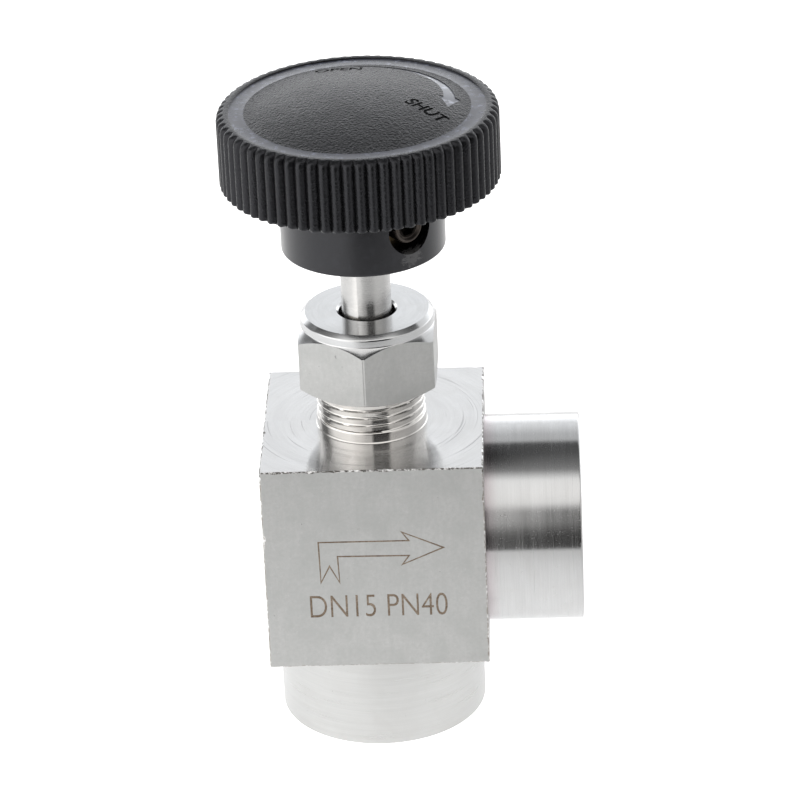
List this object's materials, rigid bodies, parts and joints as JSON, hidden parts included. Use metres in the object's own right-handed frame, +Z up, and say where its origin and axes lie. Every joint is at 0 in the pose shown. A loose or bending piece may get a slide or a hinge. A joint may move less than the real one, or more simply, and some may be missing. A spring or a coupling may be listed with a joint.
{
  "type": "needle valve",
  "caption": "Angle needle valve with a square steel block body, two threaded round bosses, a hexagonal packing nut on a threaded neck and a fluted black knob on a screw stem.",
  "frame": {"origin": "middle of the overall footprint, in the plane of the inlet end face that the valve stands on; the stem and inlet axis crosses this plane at X = -4.45 mm, Y = 0", "axes": "+Z up along the stem, from the inlet to the knob; +X along the outlet; -Y out of the marked front face"},
  "size_m": [0.0439, 0.035, 0.0852],
  "materials": {
    "stainless_block": "fine milled and satin ground faces, turned bosses",
    "stainless_turned": "bright turned",
    "stainless_hardened": "ground",
    "ptfe_white": "waxy, turned",
    "ptfe_filled": "dull",
    "knob_black": "fine spark-eroded grain on top, semi-gloss hub and flutes",
    "brass_insert": "turned",
    "screw_black_oxide": "black oxide",
    "spring_wire": "drawn wire"
  },
  "bodies": {
    "valve_body": {"valve_body": "stainless_block", "packing_washer": "stainless_hardened", "packing_lower_adapter": "ptfe_white", "packing_chevron_1": "ptfe_white", "packing_chevron_2": "ptfe_white", "packing_chevron_3": "ptfe_white", "packing_upper_adapter": "ptfe_white"},
    "needle": {"needle_tip": "stainless_hardened"},
    "stem_and_knob": {"stem": "stainless_turned", "tip_snap_ring": "spring_wire", "knob": "knob_black", "knob_insert": "brass_insert", "set_screw": "screw_black_oxide"},
    "gland": {"gland_follower": "stainless_turned", "gland_thrust_washer": "ptfe_filled"},
    "packing_nut": {"packing_nut": "stainless_turned"}
  },
  "joints": [
    {"name": "stem_lift", "type": "slide", "parent": "valve_body", "child": "needle", "axis": [0, 0, 1], "range_m": [0, 0.005]},
    {"name": "stem_turn", "type": "hinge", "parent": "needle", "child": "stem_and_knob", "pos_m": [-0.00445, 0, 0.0651], "axis": [0, 0, 1], "range_deg": [0, 1800]},
    {"name": "gland_lift", "type": "slide", "parent": "valve_body", "child": "gland", "axis": [0, 0, 1], "range_m": [0, 0.002]},
    {"name": "nut_turn", "type": "hinge", "parent": "gland", "child": "packing_nut", "pos_m": [-0.00445, 0, 0.0463], "axis": [0, 0, 1], "range_deg": [0, 720]}
  ],
  "couplings": [
    {"joint": "stem_turn", "follows": "stem_lift", "rad_per_m": 6283.2},
    {"joint": "nut_turn", "follows": "gland_lift", "rad_per_m": 6283.2}
  ]
}
